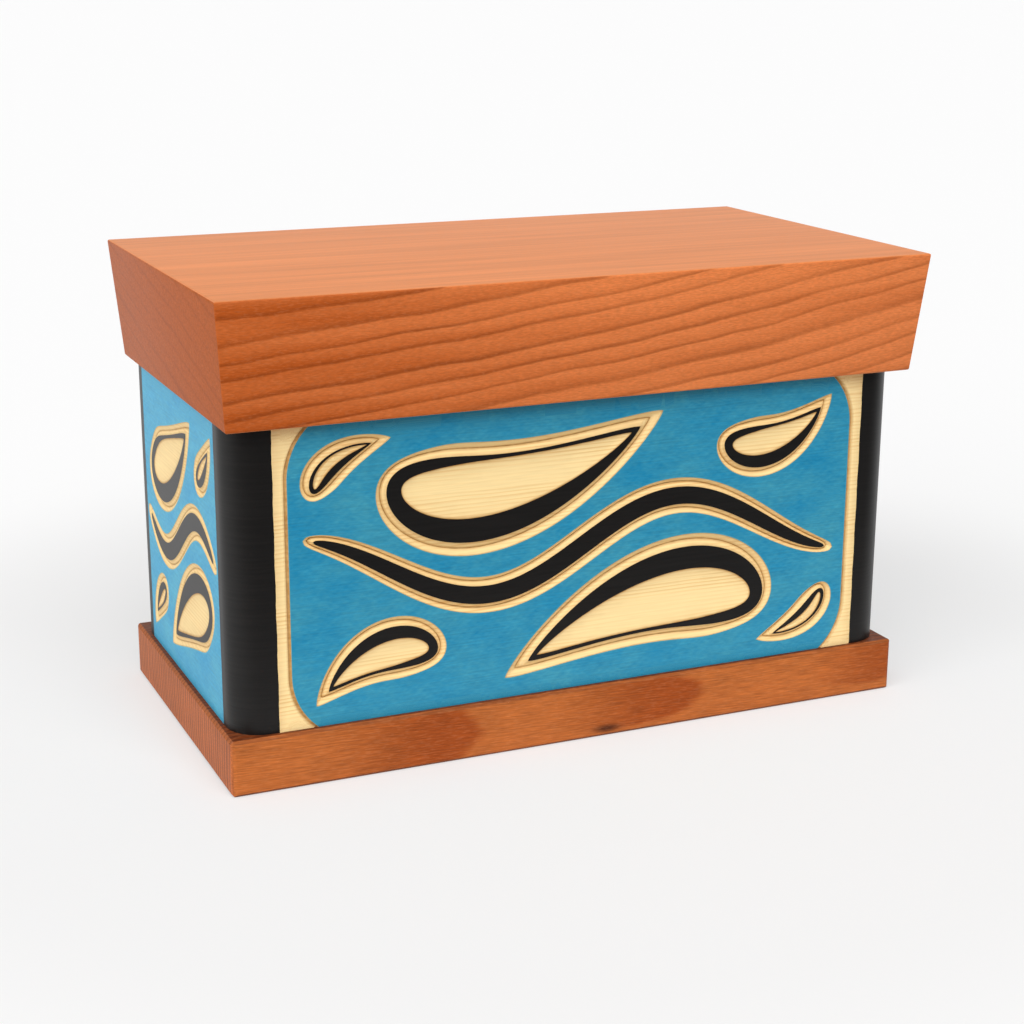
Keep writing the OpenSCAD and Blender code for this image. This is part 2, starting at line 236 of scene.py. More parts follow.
def lid_cedar():
    """Red cedar, planed and oiled: rings lie as tilted sheets, so the long sides show lines that climb to
    the right and waver, with deep orange in each ring and towards the left; the top is pale with long faint
    streaks, and the cut ends are browner and speckled. Fibres and flecks are drawn as coarse as they need
    to show."""
    c = colours()
    material, tree = new_material("red_cedar_planed")
    way = put(tree, "ShaderNodeTexCoord", out="Object")
    x, y, z = put(tree, APART, (way,), out=None).outputs
    end, side, top = (facing(tree, axis) for axis in "XYZ")
    climb = put(tree, MATH, (x, 0.2, 0.14), **SCALE_ADD)
    level = put(tree, MATH, (put(tree, MATH, (x, climb), **TIMES), z), **SUB)
    level = put(tree, MATH, (y, 0.24, level), **SCALE_ADD)
    for size_mm, height_mm, shift in LID_WAVES:
        wave = mottle(tree, way, size_mm, 1.0, shift)
        level = put(tree, MATH, (wave, height_mm * MM, level), **SCALE_ADD)
    phase = growth_rings(tree, level, sizes().lid_ring, 0.35)
    across = put(tree, MATH, (end, 0.45, side), **SCALE_ADD)
    uneven = put(tree, RANGE, (mottle(tree, way, (90, 40, 16), 1.0, 7.0), 0.3, 0.7, 0.5, 1.0), **EASED)
    bold = put(tree, RANGE, (x, -0.12, 0.12, 0.72, 0.42), **EASED)
    bold = put(tree, MATH, (uneven, bold), **TIMES)
    line = put(tree, MATH, (late_line(tree, phase, 0.66, 0.89), bold), **TIMES)
    line = put(tree, MATH, (line, across), **TIMES)
    deep = put(tree, MATH, (late_line(tree, phase, 0.1, 0.84), across), **TIMES)
    fibre = mottle(tree, way, (2.4, 0.6, 0.5))
    fleck = mottle(tree, way, (2.2, 0.9, 0.5), 1.0, 4.0)
    fleck = put(tree, RANGE, (fleck, 0.5, 0.68, 0.0, 0.08), **EASED)
    dots = mottle(tree, way, (1.1, 1.6, 1.1), 2.0, 2.0)
    long = mottle(tree, way, (85, 3.4, 3.4), 3.0, 6.0)
    streak = mottle(tree, way, (190, 9, 11), 3.0, 5.0)
    left = put(tree, RANGE, (x, -0.17, 0.06, 0.75, 0.0), **EASED)
    rich = put(tree, MATH, (deep, 0.26, left), **SCALE_ADD)
    rich = put(tree, MATH, (put(tree, RANGE, (streak, 0.3, 0.7, -0.1, 0.2), **EASED), rich), **ADD)
    tone = c.cedar
    for share, over in (
        (rich, c.cedar_deep), (top, c.cedar_top), (end, c.cedar_end), (line, c.cedar_line), (fleck, c.fleck),
    ):
        tone = put(tree, MIX, {0: share, 6: tone, 7: over}, **COLOURS)
    grain = put(tree, MIX, {0: end, 2: fibre, 3: dots}, data_type="FLOAT")
    streaky = put(tree, MATH, (top, 0.6), **TIMES)
    grain = put(tree, MIX, {0: streaky, 2: grain, 3: long}, data_type="FLOAT")
    value = put(tree, RANGE, (grain, 0.2, 0.8, 0.81, 1.15))
    broad = put(tree, RANGE, (streak, 0.25, 0.75, -0.08, 0.08))
    value = put(tree, MATH, (broad, top, value), **SCALE_ADD)
    rough = put(tree, RANGE, (fibre, 0.2, 0.8, 0.46, 0.56), **EASED)
    relief = put(tree, MATH, (line, -0.5, grain), **SCALE_ADD)
    finish_shader(tree, tone, value, rough, 0.12, relief, 0.07)
    return material


# Dark tongues on the base board's face: middle along and up, half length and height, in mm, and strength
TONGUES = ((-83, 12, 44, 22, 1.0), (18, 14, 46, 14, 1.0), (134, 15, 40, 13, 0.9))
# A small knot in it: its middle in mm, and how fast it fades along each axis, per metre
KNOT, KNOT_FADE = (10.5, -76.5, 3.4), (120, 100, 430)
FIBRE_TILT = math.radians(-2)


def base_cedar():
    """Brown cedar, sawn and oiled: rings stand on edge in the ends and run along the ledge, which is painted
    dark as shade at the foot of the wall, and the face shows fibres that run nearly level, faint flecks,
    darker tongues and one small knot. Rings, fibres and flecks are drawn as coarse as they need to show."""
    c = colours()
    material, tree = new_material("brown_cedar_sawn")
    way = put(tree, "ShaderNodeTexCoord", out="Object")
    end, face, top = (facing(tree, axis) for axis in "XYZ")
    y = put(tree, APART, (way,), out="Y")
    level = put(tree, MATH, (mottle(tree, way, (160, 60, 30)), 5 * MM, y), **SCALE_ADD)
    level = put(tree, MATH, (mottle(tree, way, (24, 8, 12), 1.0, 3.0), 0.8 * MM, level), **SCALE_ADD)
    phase = growth_rings(tree, level, sizes().base_ring, 0.1)
    seen = put(tree, MATH, (end, 0.6, put(tree, MATH, (top, 0.9), **TIMES)), **SCALE_ADD)
    line = put(tree, MATH, (late_line(tree, phase, 0.35, 0.8), seen), **TIMES)
    tilted = put(tree, "ShaderNodeMapping", {"Vector": way, "Rotation": (0, FIBRE_TILT, 0)})
    fibre = mottle(tree, tilted, (10, 0.9, 0.55))
    fleck = mottle(tree, tilted, (3.0, 1.2, 0.55), 1.0, 4.0)
    fleck = put(tree, RANGE, (fleck, 0.48, 0.66, 0.0, 0.07), **EASED)
    patch = mottle(tree, tilted, (34, 20, 9), 2.0, 9.0)
    ragged = put(tree, MATH, (fibre, 0.35, mottle(tree, way, (18, 18, 7), 2.0, 6.0)), **SCALE_ADD)
    dark = 0.0
    for at_x, at_z, long, tall, amount in TONGUES:
        at = put(tree, VECTOR, (way, (at_x * MM, 0, at_z * MM)), **SUB)
        at = put(tree, VECTOR, (at, (1 / (long * MM), 0, 1 / (tall * MM))), **TIMES)
        far = put(tree, VECTOR, (at,), out="Value", operation="LENGTH")
        far = put(tree, MATH, (ragged, -0.3, far), **SCALE_ADD)
        edge = put(tree, RANGE, (far, 0.52, 0.7, amount, 0.0), **EASED)
        ahead = put(tree, RANGE, (put(tree, APART, (at,)), -0.9, 0.5, 0.0, 1.0), **EASED)
        dark = put(tree, MATH, (dark, put(tree, MATH, (edge, ahead), **TIMES)), **LARGER)
    dark = put(tree, MATH, (dark, face), **TIMES)
    at = put(tree, VECTOR, (way, tuple(mm * MM for mm in KNOT)), **SUB)
    at = put(tree, VECTOR, (at, KNOT_FADE), **TIMES)
    far = put(tree, VECTOR, (at,), out="Value", operation="LENGTH")
    far = put(tree, MATH, (fibre, -0.9, far), **SCALE_ADD)
    knot = put(tree, RANGE, (far, -0.35, 0.75, 0.85, 0.0), **EASED)
    tone = c.brown
    # The upper side takes the ledge colour: painted shade at the foot of the wall
    for share, over in (
        (dark, c.brown_deep), (end, c.brown_end), (top, c.brown_ledge_painted_shade), (line, c.brown_line), (knot, c.knot),
        (fleck, c.fleck),
    ):
        tone = put(tree, MIX, {0: share, 6: tone, 7: over}, **COLOURS)
    value = put(tree, RANGE, (fibre, 0.25, 0.75, 0.68, 1.24))
    value = put(tree, MATH, (put(tree, RANGE, (patch, 0.25, 0.75, -0.09, 0.09)), value), **ADD)
    rough = put(tree, RANGE, (fibre, 0.2, 0.8, 0.45, 0.58), **EASED)
    relief = put(tree, MATH, (line, -0.5, fibre), **SCALE_ADD)
    finish_shader(tree, tone, value, rough, 0.14, relief, 0.08)
    return material


def plank_grain(tree):
    """What the plank's three finishes share: the way along its grain, its late lines, fainter on the ends,
    and its fibres. Lines and fibres are drawn as coarse as they need to show."""
    way = put(tree, "ShaderNodeAttribute", out="Vector", attribute_name="plank_way")
    depth, height = (put(tree, APART, (way,), out=axis) for axis in "YZ")
    level = put(tree, MATH, (mottle(tree, way, (120, 30, 22)), 6 * MM, height), **SCALE_ADD)
    level = put(tree, MATH, (depth, 0.4, level), **SCALE_ADD)
    late = late_line(tree, growth_rings(tree, level, sizes().plank_ring, 0.0), 0.4, 0.86)
    strength = mottle(tree, way, (70, 12, 9), 1.0, 4.0)
    strength = put(tree, RANGE, (strength, 0.35, 0.7, 0.08, 0.62), **EASED)
    fainter = put(tree, MATH, (facing(tree, "X"), -0.4, 1.0), **SCALE_ADD)
    late = put(tree, MATH, (late, put(tree, MATH, (strength, fainter), **TIMES)), **TIMES)
    return way, late, mottle(tree, way, (14, 0.7, 0.6), 3.0, 1.0)


def yellow_cedar_oiled():
    """Yellow cedar, carved and oiled: pale even wood with fine level lines, amber where oil gathers along a
    cut, and darkest at the bottom of a channel, where the amber is painted shade in the crease."""
    c = colours()
    material, tree = new_material("yellow_cedar_oiled")
    way, late, fibre = plank_grain(tree)
    amber = put(tree, "ShaderNodeAttribute", out="Fac", attribute_name="amber")
    patchy = put(tree, RANGE, (mottle(tree, way, (4, 2, 2), 2.0, 6.0), 0.2, 0.8, 0.7, 1.0), **EASED)
    # The amber is stain at the edges, and painted crease shade at the bottom of the cuts
    stain = put(tree, MATH, (amber, patchy), **TIMES)
    tone = put(tree, MIX, {0: late, 6: c.yellow, 7: c.yellow_line}, **COLOURS)
    tone = put(tree, MIX, {0: stain, 6: tone, 7: c.amber}, **COLOURS)
    value = put(tree, RANGE, (fibre, 0.25, 0.75, 0.95, 1.02), **EASED)
    relief = put(tree, MATH, (late, -0.5, fibre), **SCALE_ADD)
    finish_shader(tree, tone, value, 0.55, 0.14, relief, 0.05)
    return material


def blue_paint_brushed():
    """Thin blue paint brushed on cedar: a deep coat, cloudy where strokes cross, with fine grain showing
    through and a pale feathered edge. On the ends it is made brighter: a painted sheen where the light meets
    them at a slant. Specks and strokes are drawn as coarse as they need to show."""
    c = colours()
    material, tree = new_material("blue_paint_brushed")
    way, late, fibre = plank_grain(tree)
    amber = put(tree, "ShaderNodeAttribute", out="Fac", attribute_name="amber")
    cloud = mottle(tree, way, (26, 20, 18), 2.0, 8.0)
    strokes = 0.0
    for turn, shift in ((0.6, 5.0), (-0.45, 2.0)):
        turned = put(tree, "ShaderNodeMapping", {"Vector": way, "Rotation": (0, turn, 0)})
        strokes = put(tree, MATH, (mottle(tree, turned, (8, 3, 1.7), 2.0, shift), strokes), **ADD)
    speck = mottle(tree, way, (2.4, 1.7, 0.9), 1.0, 3.0)
    thin = put(tree, MATH, (strokes, 0.3, cloud), **SCALE_ADD)
    thin = put(tree, MATH, (speck, 0.55, thin), **SCALE_ADD)
    thin = put(tree, RANGE, (thin, 0.8, 1.4, 0.0, 0.62))
    thin = put(tree, MATH, (thin, put(tree, MATH, (amber, 1.1), **TIMES)), **LARGER)
    tone = put(tree, MIX, {0: thin, 6: c.blue, 7: c.blue_thin}, **COLOURS)
    worn = put(tree, MATH, (late, -0.2, fibre), **SCALE_ADD)
    worn = put(tree, MATH, (strokes, 0.3, worn), **SCALE_ADD)
    value = put(tree, RANGE, (worn, 0.4, 1.15, 0.76, 1.14))
    # Painted sheen: the blue is made brighter on the ends, where the light meets them at a slant
    painted_sheen_on_ends = put(tree, MATH, (facing(tree, "X"), 0.38, 1.0), **SCALE_ADD)
    value = put(tree, MATH, (value, painted_sheen_on_ends), **TIMES)
    relief = put(tree, MATH, (strokes, 0.5, fibre), **SCALE_ADD)
    finish_shader(tree, tone, value, 0.45, 0.42, relief, 0.05)
    return material


def black_paint_brushed():
    """Black paint brushed on cedar: a dark even coat with soft level ridges from the brush and the grain."""
    material, tree = new_material("black_paint_brushed")
    way, _, fibre = plank_grain(tree)
    ridge = mottle(tree, way, (26, 1.4, 1.0), 3.0, 9.0)
    value = put(tree, RANGE, (ridge, 0.25, 0.75, 0.75, 1.3), **EASED)
    relief = put(tree, MATH, (ridge, 0.8, fibre), **SCALE_ADD)
    finish_shader(tree, colours().black, value, 0.4, 0.28, relief, 0.05)
    return material


def peg_wood_whittled():
    """Split peg wood, whittled round: pale, with darker pores, drawn as coarse as they need to show."""
    material, tree = new_material("peg_wood_whittled")
    way = put(tree, "ShaderNodeTexCoord", out="Object")
    pores = mottle(tree, way, (0.8, 0.8, 0.8), 3.0)
    value = put(tree, RANGE, (pores, 0.25, 0.75, 0.7, 1.1), **EASED)
    finish_shader(tree, colours().peg, value, 0.55, 0.5, pores, 0.08)
    return material


def keep_hard_edges(mesh, degrees=24.0):
    """Smooth shading, with edges kept hard where faces meet at more than an angle."""
    bm = bmesh.new()
    bm.from_mesh(mesh)
    for face in bm.faces:
        face.smooth = True
    for edge in bm.edges:
        edge.smooth = len(edge.link_faces) == 2 and edge.calc_face_angle(0) < math.radians(degrees)
    bm.to_mesh(mesh)
    bm.free()


def add_piece(name, mesh, body, nodes):
    """Links a finished mesh as a piece that rides on a body and stands for CAD nodes."""
    piece = bpy.data.objects.new(name, mesh)
    bpy.context.scene.collection.objects.link(piece)
    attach(piece, body)
    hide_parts(*nodes)


# Edges of a board that are eased: longer than this, and sharper than this
EASED_LENGTH, EASED_ANGLE = 12 * MM, math.radians(20)
FLAT_ANGLE = math.radians(0.5)


def dress_board(node, name, ease, wood, body):
    """A welded copy of a board's CAD mesh with its long hard edges rounded, kept within the board's box."""
    bm = bmesh.new()
    bm.from_mesh(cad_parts[node].data)
    bmesh.ops.remove_doubles(bm, verts=bm.verts, dist=WELD)
    bmesh.ops.dissolve_limit(bm, angle_limit=FLAT_ANGLE, verts=bm.verts, edges=bm.edges)
    hard = [
        e for e in bm.edges
        if len(e.link_faces) == 2 and e.calc_length() > EASED_LENGTH and e.calc_face_angle(0) > EASED_ANGLE
    ]
    bmesh.ops.bevel(
        bm, geom=hard, offset=ease, segments=3, profile=0.5, affect="EDGES", clamp_overlap=True
    )
    bmesh.ops.triangulate(bm, faces=[f for f in bm.faces if len(f.verts) > 4])
    mesh = bpy.data.meshes.new(name)
    bm.to_mesh(mesh)
    bm.free()
    keep_hard_edges(mesh)
    mesh.materials.append(wood)
    add_piece(name, mesh, body, [node])


# Plans of the carving, in millimetres on a flat side: u along it, v up from its middle

BARE, BLUE, BLACK = 0, 1, 2
# Points this near to the edge of a side lie on it
ON_EDGE = 1e-3
# A channel from outside to inside: place across it, share of its depth, and amber: stain at its edges, and
# painted crease shade where it is deepest
CHANNEL_CUT = (
    (-0.14, 0, 0.0), (0, 0, 0.85), (0.1, 0.14, 0.2), (0.3, 0.55, 0.1), (0.44, 0.86, 0.3), (0.5, 1.0, 1.0),
    (0.58, 0.84, 0.45), (0.72, 0.55, 0.1), (1, 0, 0.5),
)
# A dished field from its edge in: distance, share of its depth, and amber stain
DISH_CUT = ((-0.6, 0, 0.0), (0, 0, 0.95), (0.55, 0.3, 0.5), (1.1, 0.5, 0.18), (3.0, 1.0, 0.07))
# The cut at an end of the painted ground, from the bare margin in: distance, depth, and amber: stain, and
# painted crease shade at the bottom of the cut
PAINT_IN = 1.5
END_CUT = ((-0.7, 0, 0.0), (0, 0, 0.35), (0.7, 0.8, 0.75), (PAINT_IN, 0, 0.9), (2.0, 0, 0.0))
# How far the painted ground's outline runs on past the top and the foot of a side
GROUND_OVER = 8.0
# A leaf's width along its spine: powers at its round base and at its point, and the greatest it comes to
LEAF_ROUND, LEAF_POINT = 0.5, 0.8
LEAF_FULL = LEAF_ROUND / (LEAF_ROUND + LEAF_POINT)
LEAF_PEAK = LEAF_FULL ** LEAF_ROUND * (1 - LEAF_FULL) ** LEAF_POINT
# How much faster than its sides a leaf's point draws in, and its bare field's base with the band's swell
TIP_DRAW, BASE_DRAW = 1.7, 1.6
# Points along a leaf, at least, and points of a leaf and of a stem for each step of a straight line there
LEAF_POINTS, LEAF_DENSE, STEM_DENSE = 14, 1.1, 1.3
# A stem's half width and the power of its taper; then its reach and swing on the long and the short sides,
# in shares of half the side, and how far it winds each way, in degrees
STEM_HALF, STEM_TAPER = 4, 0.4
LONG_STEM, SHORT_STEM = (0.86, 0.26, 245), (0.84, 0.21, 167)
# Shares of the full depth that the sides are carved to
LONG_DEPTH, SHORT_DEPTH = 1.0, 0.5
# Leaves in a bend of the stem: base, bow and tip of the spine in shares of half the side, half width,
# which channel, and the width of the black band and its swell to one side
LONG_LEAVES = (
    ((-0.64, 0.64), (-0.36, 0.06), (0.26, 0.86), 23, "channel", 2.2, 4.0),
    ((0.46, 0.64), (0.66, 0.36), (0.86, 0.86), 13, "fine_channel", 1.6, 2.0),
    ((-0.86, 0.50), (-0.84, 0.79), (-0.62, 0.86), 8, "fine_channel", 1.0, 1.0),
)
SHORT_LEAVES = (
    ((-0.80, 0.38), (-0.34, 0.22), (0.36, 0.86), 18, "fine_channel", 2.0, 3.2),
    ((0.43, 0.50), (0.67, 0.55), (0.86, 0.87), 8.5, "fine_channel", 1.2, 1.4),
)


def inside(points, outline):
    """Which points lie inside a closed outline."""
    hit = np.zeros(len(points), bool)
    near = np.all((points > outline.min(axis=0)) & (points < outline.max(axis=0)), axis=1)
    index = np.nonzero(near)[0]
    u, v = points[index].T
    odd = np.zeros(len(index), bool)
    for (u0, v0), (u1, v1) in zip(outline, np.roll(outline, -1, axis=0)):
        if v0 != v1:
            odd ^= ((v0 > v) != (v1 > v)) & (u < u0 + (v - v0) * (u1 - u0) / (v1 - v0))
    hit[index] = odd
    return hit


class CarvedSide:
    """All that is drawn on one flat side: lines at a depth, each with an amber that stains the wood and, in
    the deepest cuts, is painted shade in the crease, and fields of a finish."""

    def __init__(self, half_u, half_v, share):
        self.half_u, self.half_v, self.share = half_u, half_v, share
        self.lines, self.fields, self.floors = [], [], []
        self.ground = None

    def draw(self, outline, depth, amber):
        """Draws a closed line, cut off where it leaves the side above or below."""
        for run, closed in self.kept_runs(np.asarray(outline, float)):
            self.lines.append((run, closed, depth * self.share, amber))

    def kept_runs(self, outline):
        """Stretches of a closed line that lie on the side, and whether each is closed."""
        on = np.abs(outline[:, 1]) < self.half_v
        if on.all():
            return [(outline, True)]
        start = int(np.nonzero(~on)[0][0])
        loop = np.roll(outline, -start, axis=0)
        loop = np.vstack([loop, loop[:1]])
        on = np.abs(loop[:, 1]) < self.half_v
        runs, run = [], []
        for i in range(1, len(loop)):
            if on[i - 1] != on[i]:
                edge = math.copysign(self.half_v, loop[i - 1, 1] if on[i] else loop[i, 1])
                t = (edge - loop[i - 1, 1]) / (loop[i, 1] - loop[i - 1, 1])
                run.append((loop[i - 1, 0] + t * (loop[i, 0] - loop[i - 1, 0]), edge))
                if not on[i]:
                    runs.append((np.array(run), False))
                    run = []
            if on[i]:
                run.append(tuple(loop[i]))
        return runs

    def channel(self, ring, finish):
        """A two-sided cut: ring(k) gives its outline from k = 0, outside, to 1, where a finish begins."""
        depth = sizes().channel_depth / MM
        for k, deep, amber in CHANNEL_CUT:
            self.draw(ring(k), depth * deep, amber)
        self.fields += [(ring(0), BARE), (ring(1), finish)]

    def dish(self, ring):
        """A bare field, dished: ring(mm) gives its outline moved in by a distance."""
        depth = sizes().dish / MM
        for inset, deep, amber in DISH_CUT:
            self.draw(ring(inset), depth * deep, amber)
        self.fields.append((ring(0), BARE))
        self.floors.append((ring(DISH_CUT[-1][0]), depth * self.share))


def leaf(place, base, bow, tip, half):
    """Outline of a leaf, round at its base and drawn to a point; ring(mm) moves it in, or aside where it is
    full."""
    base, bow, tip = (np.multiply(place, share) for share in (base, bow, tip))
    total = np.linalg.norm(tip - bow) + np.linalg.norm(bow - base)

    def ring(inset, aside=0.0, from_base=0.0):
        low, high = (inset + from_base) / total, 1 - TIP_DRAW * inset / total
        count = max(LEAF_POINTS, int(LEAF_DENSE * (high - low) * total / (sizes().step / MM)))
        t = (1 - np.cos(np.linspace(0, math.pi, count + 1))) / 2
        width = (half - inset - abs(aside)) * t ** LEAF_ROUND * (1 - t) ** LEAF_POINT / LEAF_PEAK
        s = (low + (high - low) * t)[:, None]
        point = (1 - s) ** 2 * base + 2 * s * (1 - s) * bow + s ** 2 * tip
        way = (1 - s) * (bow - base) + s * (tip - bow)
        way /= np.linalg.norm(way, axis=1, keepdims=True)
        left = np.column_stack([-way[:, 1], way[:, 0]])
        point = point + left * (aside * np.sin(math.pi * t))[:, None]
        return np.concatenate([point + left * width[:, None], (point - left * width[:, None])[-2:0:-1]])
    return ring


def vine(reach, swing, wind, half):
    """Outline of a stem that winds along the side, by an angle each way, and tapers at both ends; ring(mm)
    moves it in."""
    period = reach * 360 / wind

    def ring(inset):
        count = int(2 * STEM_DENSE * reach / (sizes().step / MM))
        u = np.linspace(-1, 1, count + 1)
        width = (half - inset) * (1 - u ** 2) ** STEM_TAPER
        u = u * (reach - inset)
        turn = 2 * math.pi * u / period
        slope = swing * np.cos(turn) * 2 * math.pi / period
        normal = np.column_stack([-slope, np.ones(count + 1)]) / np.sqrt(1 + slope ** 2)[:, None]
        middle = np.column_stack([u, swing * np.sin(turn)])
        wide = normal * width[:, None]
        return np.concatenate([middle + wide, (middle - wide)[-2:0:-1]])
    return ring


def carve_leaf(side, ring, channel, band, swell):
    """A leaf: a channel inside the blue, a black band that swells to one side, and a bare dished field."""
    side.channel(lambda k: ring(channel * k), BLACK)
    side.dish(lambda inset: ring(channel + band + inset, swell, BASE_DRAW * abs(swell)))


def carve_plant(side, reach, swing, wind, leaves):
    """A black stem with a channel round it, and leaves that lean along it in each bend."""
    z = sizes()
    stem = vine(reach * side.half_u, swing * side.half_v, wind, STEM_HALF)
    side.channel(lambda k: stem(z.fine_channel / MM * (k - 1)), BLACK)
    for s in (-1, 1):
        place = s * side.half_u, s * side.half_v
        for base, bow, tip, half, channel, band, swell in leaves:
            ring = leaf(place, base, bow, tip, half)
            carve_leaf(side, ring, getattr(z, channel) / MM, band, swell)


def carve_ends(side):
    """The painted ground's two round ends, each set off from the bare margin by a narrow cut."""
    z = sizes()
    half_u = side.half_u - (z.corner_paint + z.end_margin) / MM
    half_v, radius, step = side.half_v + GROUND_OVER, z.end_round / MM, z.step / MM

    def ring(inset):
        r = radius - inset
        turn = np.linspace(0, math.pi / 2, int(math.pi / 2 * r / step) + 1)
        quarter = np.column_stack([np.cos(turn), np.sin(turn)]) * r + (half_u - radius, half_v - radius)
        straight = half_v - radius
        down = np.linspace(straight, -straight, int(2 * straight / step) + 1)[1:-1]
        right = np.column_stack([np.full(len(down), half_u - inset), down])
        right = np.vstack([quarter[::-1], right, quarter * (1, -1)])
        return np.vstack([right, right[::-1] * (-1, 1)])
    for inset, depth, amber in END_CUT:
        side.draw(ring(inset), depth, amber)
    side.ground = ring(PAINT_IN)


def long_side(half_u, half_v):
    """The front and the back: a painted ground with round ends, a stem and leaves of three sizes."""
    side = CarvedSide(half_u, half_v, LONG_DEPTH)
    carve_ends(side)
    carve_plant(side, *LONG_STEM, LONG_LEAVES)
    return side


def short_side(half_u, half_v):
    """The ends: a shorter stem with a large leaf and a small one in each bend, cut less deep."""
    side = CarvedSide(half_u, half_v, SHORT_DEPTH)
    carve_plant(side, *SHORT_STEM, SHORT_LEAVES)
    return side


# Spacing of points along the top and the foot of a side, and how far they keep from a carved line
RIM_STEP, RIM_CLEAR = 2.4, 0.8
# Rows of points on the flats, and how far these keep from a carved line, in shares of their spacing
FILL_ROW, FILL_CLEAR = 0.87, 0.7


def side_mesh(side, levels):
    """Triangles of one side: points in millimetres, their depths and ambers, faces and their finishes."""
    z = sizes()
    paint, fill = side.half_u - z.corner_paint / MM, z.fill / MM
    # The brushed edge of a corner's black wavers by about a tenth of a millimetre
    for s in (-1, 1):
        v = levels[1:-1]
        brushed = paint + 0.05 * np.sin(1.9 * v) + 0.09 * np.sin(0.31 * v + s)
        brushed = np.concatenate([[paint], brushed, [paint]])
        side.lines.append((np.column_stack([s * brushed, levels]), False, 0.0, 0.25))
    points, depths, ambers, edges = [], [], [], []
    for run, closed, depth, amber in side.lines:
        start = len(points)
        points += [tuple(p) for p in run]
        depths += [depth] * len(run)
        ambers += [amber] * len(run)
        edges += [(start + i, start + i + 1) for i in range(len(run) - 1)]
        if closed:
            edges.append((start + len(run) - 1, start))
    near = KDTree(len(points))
    for i, (u, v) in enumerate(points):
        near.insert((u, v, 0), i)
    near.balance()
    spare = []
    for s in (-1, 1):
        rim = s * side.half_v
        across = np.linspace(-side.half_u, side.half_u, int(2 * side.half_u / RIM_STEP) + 1)
        spare += [(u, rim) for u in across if near.find((u, rim, 0))[2] > RIM_CLEAR]
        spare += [(s * side.half_u, v) for v in levels[1:-1]]
    low = -side.half_v + fill
    for row, v in enumerate(np.arange(low, -low + 0.1, fill * FILL_ROW)):
        first = -side.half_u + fill * (1 + 0.5 * (row % 2))
        for u in np.arange(first, side.half_u - FILL_CLEAR * fill, fill):
            if near.find((u, v, 0))[2] > FILL_CLEAR * fill:
                spare.append((u, v))
    extra = np.array(spare)
    sunk = np.zeros(len(extra))
    for outline, depth in side.floors:
        sunk[inside(extra, outline)] = depth
    depths = np.concatenate([depths, sunk])
    ambers = np.concatenate([ambers, np.zeros(len(extra))])
    made = delaunay_2d_cdt([Vector(p) for p in points + spare], edges, [], 0, 1e-4, True)
    verts = np.array([tuple(v) for v in made[0]])
    source = np.array([ids[0] if ids else -1 for ids in made[3]])
    faces = np.array(made[2])
    # Rounding leaves flat slivers along the side's straight edges
    reach = np.abs(verts[faces]) > np.array((side.half_u, side.half_v)) - ON_EDGE
    faces = faces[~reach.all(axis=1).any(axis=1)]
    depth = np.where(source < 0, 0, depths[source])
    amber = np.where(source < 0, 0, ambers[source])
    middle = verts[faces].mean(axis=1)
    finish = np.full(len(faces), BLUE)
    if side.ground is not None:
        finish[~inside(middle, side.ground)] = BARE
    for outline, kind in side.fields:
        finish[inside(middle, outline)] = kind
    finish[np.abs(middle[:, 0]) > paint] = BLACK
    return verts, depth, amber, faces, finish


class PlankMesh:
    """Gathers the plank's mesh: points, their places along the grain, ambers, faces and finishes."""

    def __init__(self):
        self.points, self.ways, self.ambers, self.faces, self.finishes = [], [], [], [], []

    def add(self, points, ways, ambers, faces, finishes):
        start = len(self.points)
        self.points += [tuple(p) for p in points]
        self.ways += [tuple(w) for w in ways]
        self.ambers += list(ambers)
        self.faces += [tuple(start + int(i) for i in f) for f in faces]
        self.finishes += [int(f) for f in finishes]

    def wall(self, line, along, levels, finish):
        """An upright wall on a plan line, in courses that match the carved sides."""
        m = len(levels)
        corners = [i * m + j for i in range(len(line) - 1) for j in range(m - 1)]
        faces = [(i, i + m, i + m + 1, i + 1) for i in corners]
        points = [(x, y, v) for x, y in line for v in levels]
        ways = [(s, 0, v) for s in along for v in levels]
        self.add(points, ways, [0] * len(points), faces, [finish] * len(faces))

    def cap(self, loop, level, upward):
        """An edge of the plank, from the closed line round it."""
        loop = np.array(loop)
        around = [(i, (i + 1) % len(loop)) for i in range(len(loop))]
        made = delaunay_2d_cdt([Vector(p) for p in loop], around, [], 0, 1e-5, False)
        plan = np.array([tuple(v) for v in made[0]])
        faces = np.array(made[2])
        faces = faces[inside(plan[faces].mean(axis=1), loop)]
        if not upward:
            faces = faces[:, ::-1]
        points = np.column_stack([plan, np.full(len(plan), level)])
        self.add(points, points, [0] * len(points), faces, [BARE] * len(faces))


# Levels of points up the plank, faces round a quarter bend, and points round the root of a kerf
PLANK_LEVELS, BEND_FACES, ROOT_POINTS = 62, 16, 13


def inner_line(half, inner, flat, bend_r):
    """The plank's inside in plan, from the face of the lap to the end of the back, with its three kerfs."""
    z = sizes()
    lap, glue, kerf = z.lap / MM, z.glue_gap / MM, z.kerf_gap / MM
    web, root = z.kerf_web / MM, z.kerf_root / MM
    line = [(half[0] - lap, inner[1] - glue), (inner[0], inner[1] - glue)]
    for sx, sy in ((1, -1), (-1, -1), (-1, 1)):
        centre = np.array([sx * flat[0], sy * flat[1]])
        out = np.array([sx, sy]) / math.sqrt(2)
        aside = np.array([-out[1], out[0]])
        mouth = np.array([sx * inner[0], sy * inner[1]]) - out * kerf / 2
        hub = centre + out * (bend_r - web - root)
        opening = math.asin(kerf / 2 / root)
        line.append(tuple(mouth + aside * kerf / 2))
        for a in np.linspace(opening, 2 * math.pi - opening, ROOT_POINTS):
            line.append(tuple(hub + root * (aside * math.sin(a) - out * math.cos(a))))
        line.append(tuple(mouth - aside * kerf / 2))
    line.append((half[0] - lap - glue, inner[1]))
    return line


